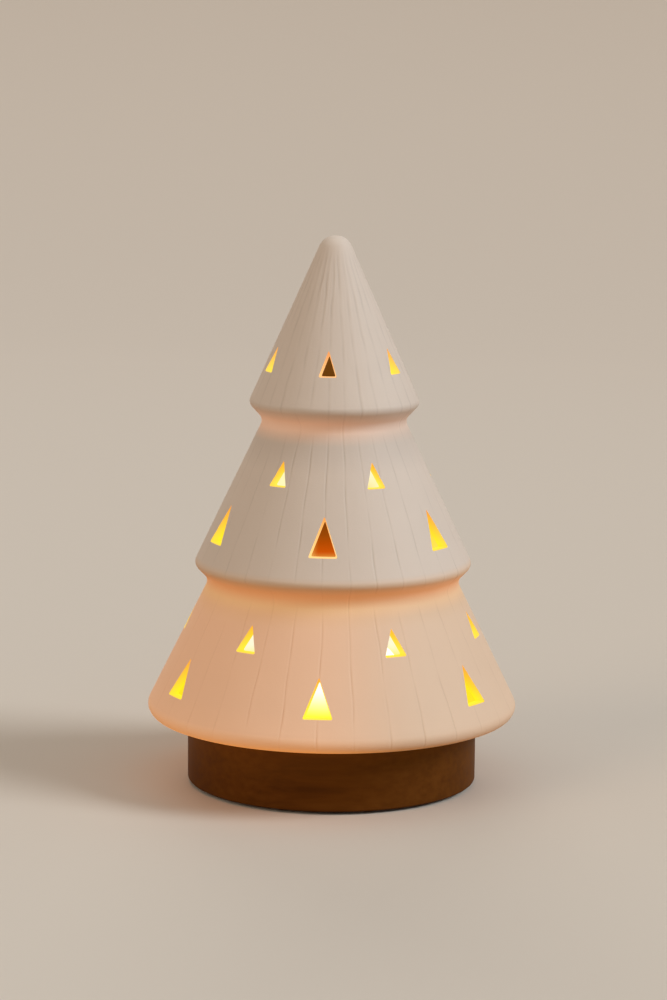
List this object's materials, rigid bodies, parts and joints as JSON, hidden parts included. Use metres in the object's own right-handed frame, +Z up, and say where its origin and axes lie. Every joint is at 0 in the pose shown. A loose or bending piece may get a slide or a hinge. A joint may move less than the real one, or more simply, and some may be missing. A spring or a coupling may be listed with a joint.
{
  "type": "ceramic christmas tree lamp",
  "caption": "Three-tier conical porcelain tree shade pierced with small triangular windows, resting on a round turned wooden base with a battery-powered light.",
  "frame": {"origin": "on the table, under the middle of the lamp, in the plane of the feet", "axes": "+Z up along the tree's axis; -Y is the front, where a lower-row window of the bottom tier faces; the battery door opens along X with its hinge towards +Y"},
  "size_m": [0.1556, 0.1556, 0.231],
  "materials": {
    "bisque_porcelain": "unglazed bisque porcelain, matt, warm white",
    "silicone": "translucent silicone, matt",
    "stained_wood": "turned beech, walnut stain, matt lacquer",
    "white_plastic": "moulded, fine grain",
    "opal_plastic": "opal diffuser",
    "board": "white solder mask on glass-fibre board",
    "phosphor": "white package with a phosphor bowl",
    "black_plastic": "moulded, fine spark-eroded grain",
    "steel": "zinc plated",
    "nickel_plate": "nickel plated",
    "cell_sleeve": "printed shrink sleeve, plain",
    "red_lead": "PVC insulation",
    "black_lead": "PVC insulation"
  },
  "bodies": {
    "base": {"wooden_base": "stained_wood", "lamp_plate": "white_plastic", "lamp_plate_screws": "steel", "light_dome": "opal_plastic", "circuit_board": "board", "board_screws": "steel", "lights": "phosphor", "resistors": "black_plastic", "bottom_cover": "black_plastic", "cover_screws": "steel", "feet": "silicone", "batteries": "cell_sleeve", "contact_plates": "nickel_plate", "contact_springs": "nickel_plate", "switch_body": "nickel_plate", "switch_screws": "steel", "battery_lead": "red_lead", "switch_lead": "red_lead", "return_lead": "black_lead"},
    "ring": {"pad_ring": "silicone"},
    "shade": {"tree_shade": "bisque_porcelain"},
    "door": {"battery_door": "black_plastic"},
    "knob": {"switch_knob": "black_plastic"}
  },
  "joints": [
    {"name": "shade_turn", "type": "hinge", "parent": "base", "child": "ring", "pos_m": [0, 0, 0.0275], "axis": [0, 0, 1], "continuous": true},
    {"name": "shade_lift", "type": "slide", "parent": "ring", "child": "shade", "axis": [0, 0, 1], "range_m": [0, 0.1]},
    {"name": "door_hinge", "type": "hinge", "parent": "base", "child": "door", "pos_m": [0, 0.03566, 0.0012], "axis": [1, 0, 0], "range_deg": [0, 60]},
    {"name": "switch_slide", "type": "slide", "parent": "base", "child": "knob", "axis": [0, 1, 0], "range_m": [0, 0.004]}
  ]
}
